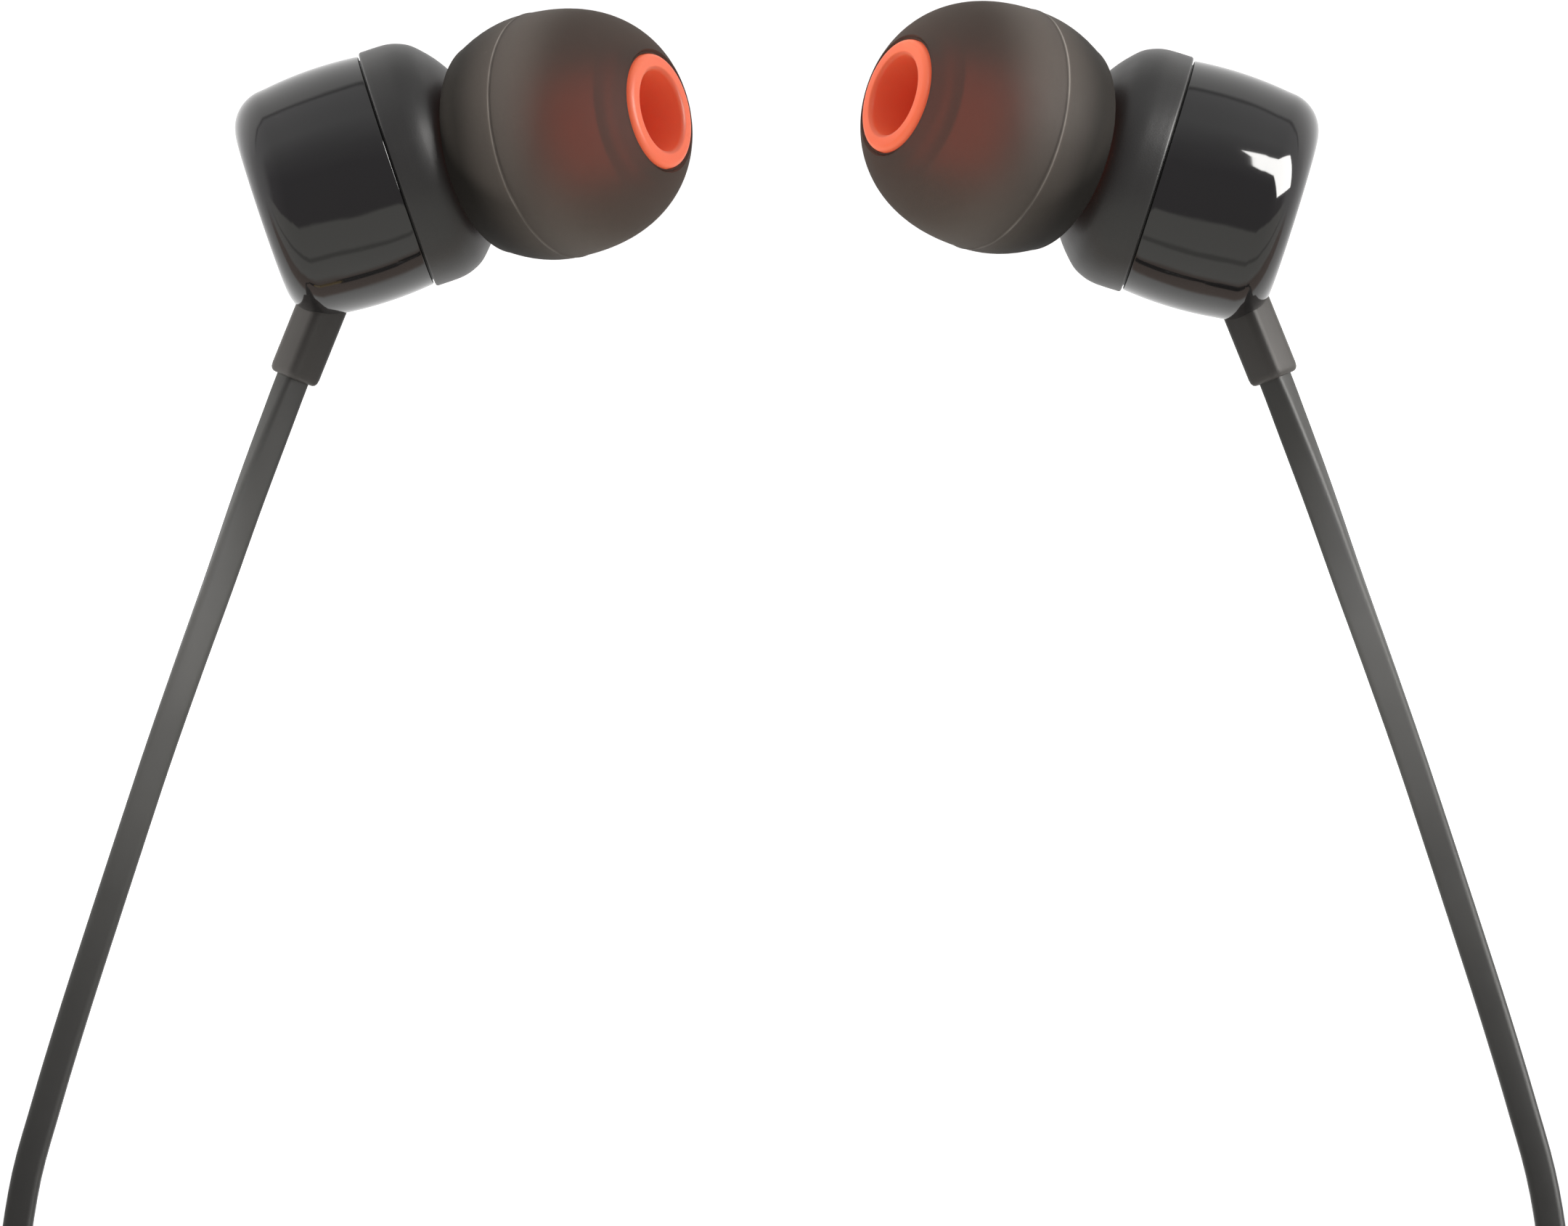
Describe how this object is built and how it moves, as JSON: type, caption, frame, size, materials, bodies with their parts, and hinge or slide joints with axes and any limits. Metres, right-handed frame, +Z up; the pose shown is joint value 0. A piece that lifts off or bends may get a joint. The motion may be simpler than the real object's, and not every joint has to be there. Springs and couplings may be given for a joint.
{
  "type": "wired earphones",
  "caption": "Wired in-ear earphones with angled soft ear tips, a slim cable wound into coils, an in-line remote and a jack plug, laid out flat.",
  "frame": {"origin": "on the table, under the middle of the box that holds the two earbuds", "axes": "+X from the left earbud to the right one, +Y away from the stored cable, +Z up from the table"},
  "size_m": [0.0829, 0.1186, 0.0162],
  "materials": {
    "gloss_black": "polished",
    "matte_black": "satin",
    "smoke_silicone": "smoky translucent silicone",
    "orange_silicone": "satin silicone",
    "soft_grey": "satin elastomer",
    "cable": "satin elastomer jacket",
    "strap": "woven hook-and-loop",
    "steel": "plain",
    "gold": "gold plate",
    "magnet": "nickel plate",
    "copper": "enamelled copper",
    "film": "clear film",
    "board": "solder resist",
    "natural_plastic": "natural"
  },
  "bodies": {
    "earphones": {"left_rear_cover": "gloss_black", "left_front_shell": "matte_black", "left_nozzle_screen": "steel", "left_driver_frame": "matte_black", "left_yoke_cup": "steel", "left_magnet": "magnet", "left_top_plate": "steel", "left_diaphragm_ring": "copper", "left_driver_cover": "steel", "left_terminal_board": "board", "left_strain_relief": "soft_grey", "left_lead_wires": "copper", "left_cord_run": "cable", "left_cord_coil": "cable", "left_cord_end": "cable", "left_coil_tie": "strap", "right_rear_cover": "gloss_black", "right_front_shell": "matte_black", "right_nozzle_screen": "steel", "right_driver_frame": "matte_black", "right_yoke_cup": "steel", "right_magnet": "magnet", "right_top_plate": "steel", "right_diaphragm_ring": "copper", "right_driver_cover": "steel", "right_terminal_board": "board", "right_strain_relief": "soft_grey", "right_lead_wires": "copper", "right_cord_run": "cable", "right_cord_middle": "cable", "right_cord_coil": "cable", "right_cord_end": "cable", "right_coil_tie": "strap", "main_cord_start": "cable", "main_cord_coil": "cable", "main_cord_end": "cable", "main_coil_tie": "strap", "y_split": "matte_black", "remote_front_shell": "gloss_black", "remote_back_shell": "matte_black", "remote_board": "board", "remote_switch": "steel", "remote_microphone": "steel", "plug_grip": "matte_black", "plug_insulator": "natural_plastic", "plug_sleeve_contact": "gold", "plug_ring_1": "gold", "plug_ring_2": "gold", "plug_tip": "gold"},
    "left_tip": {"left_tip_skirt": "smoke_silicone", "left_tip_core": "orange_silicone"},
    "right_tip": {"right_tip_skirt": "smoke_silicone", "right_tip_core": "orange_silicone"},
    "left_cone": {"left_diaphragm": "film", "left_voice_coil": "copper"},
    "right_cone": {"right_diaphragm": "film", "right_voice_coil": "copper"},
    "button": {"remote_button": "matte_black"}
  },
  "joints": [
    {"name": "left_tip_pull", "type": "slide", "parent": "earphones", "child": "left_tip", "axis": [0.8581, 0.1779, 0.4818], "range_m": [0, 0.0045]},
    {"name": "right_tip_pull", "type": "slide", "parent": "earphones", "child": "right_tip", "axis": [-0.833, 0.2517, 0.4927], "range_m": [0, 0.0045]},
    {"name": "left_cone_travel", "type": "slide", "parent": "earphones", "child": "left_cone", "axis": [0.9483, 0.3173, 0], "range_m": [-0.00015, 0.00015], "stiffness_N_per_m": 60},
    {"name": "right_cone_travel", "type": "slide", "parent": "earphones", "child": "right_cone", "axis": [-0.9542, 0.299, 0], "range_m": [-0.00015, 0.00015], "stiffness_N_per_m": 60},
    {"name": "remote_button_press", "type": "slide", "parent": "earphones", "child": "button", "axis": [0, 0, -1], "range_m": [0, 0.00035], "stiffness_N_per_m": 4000}
  ]
}
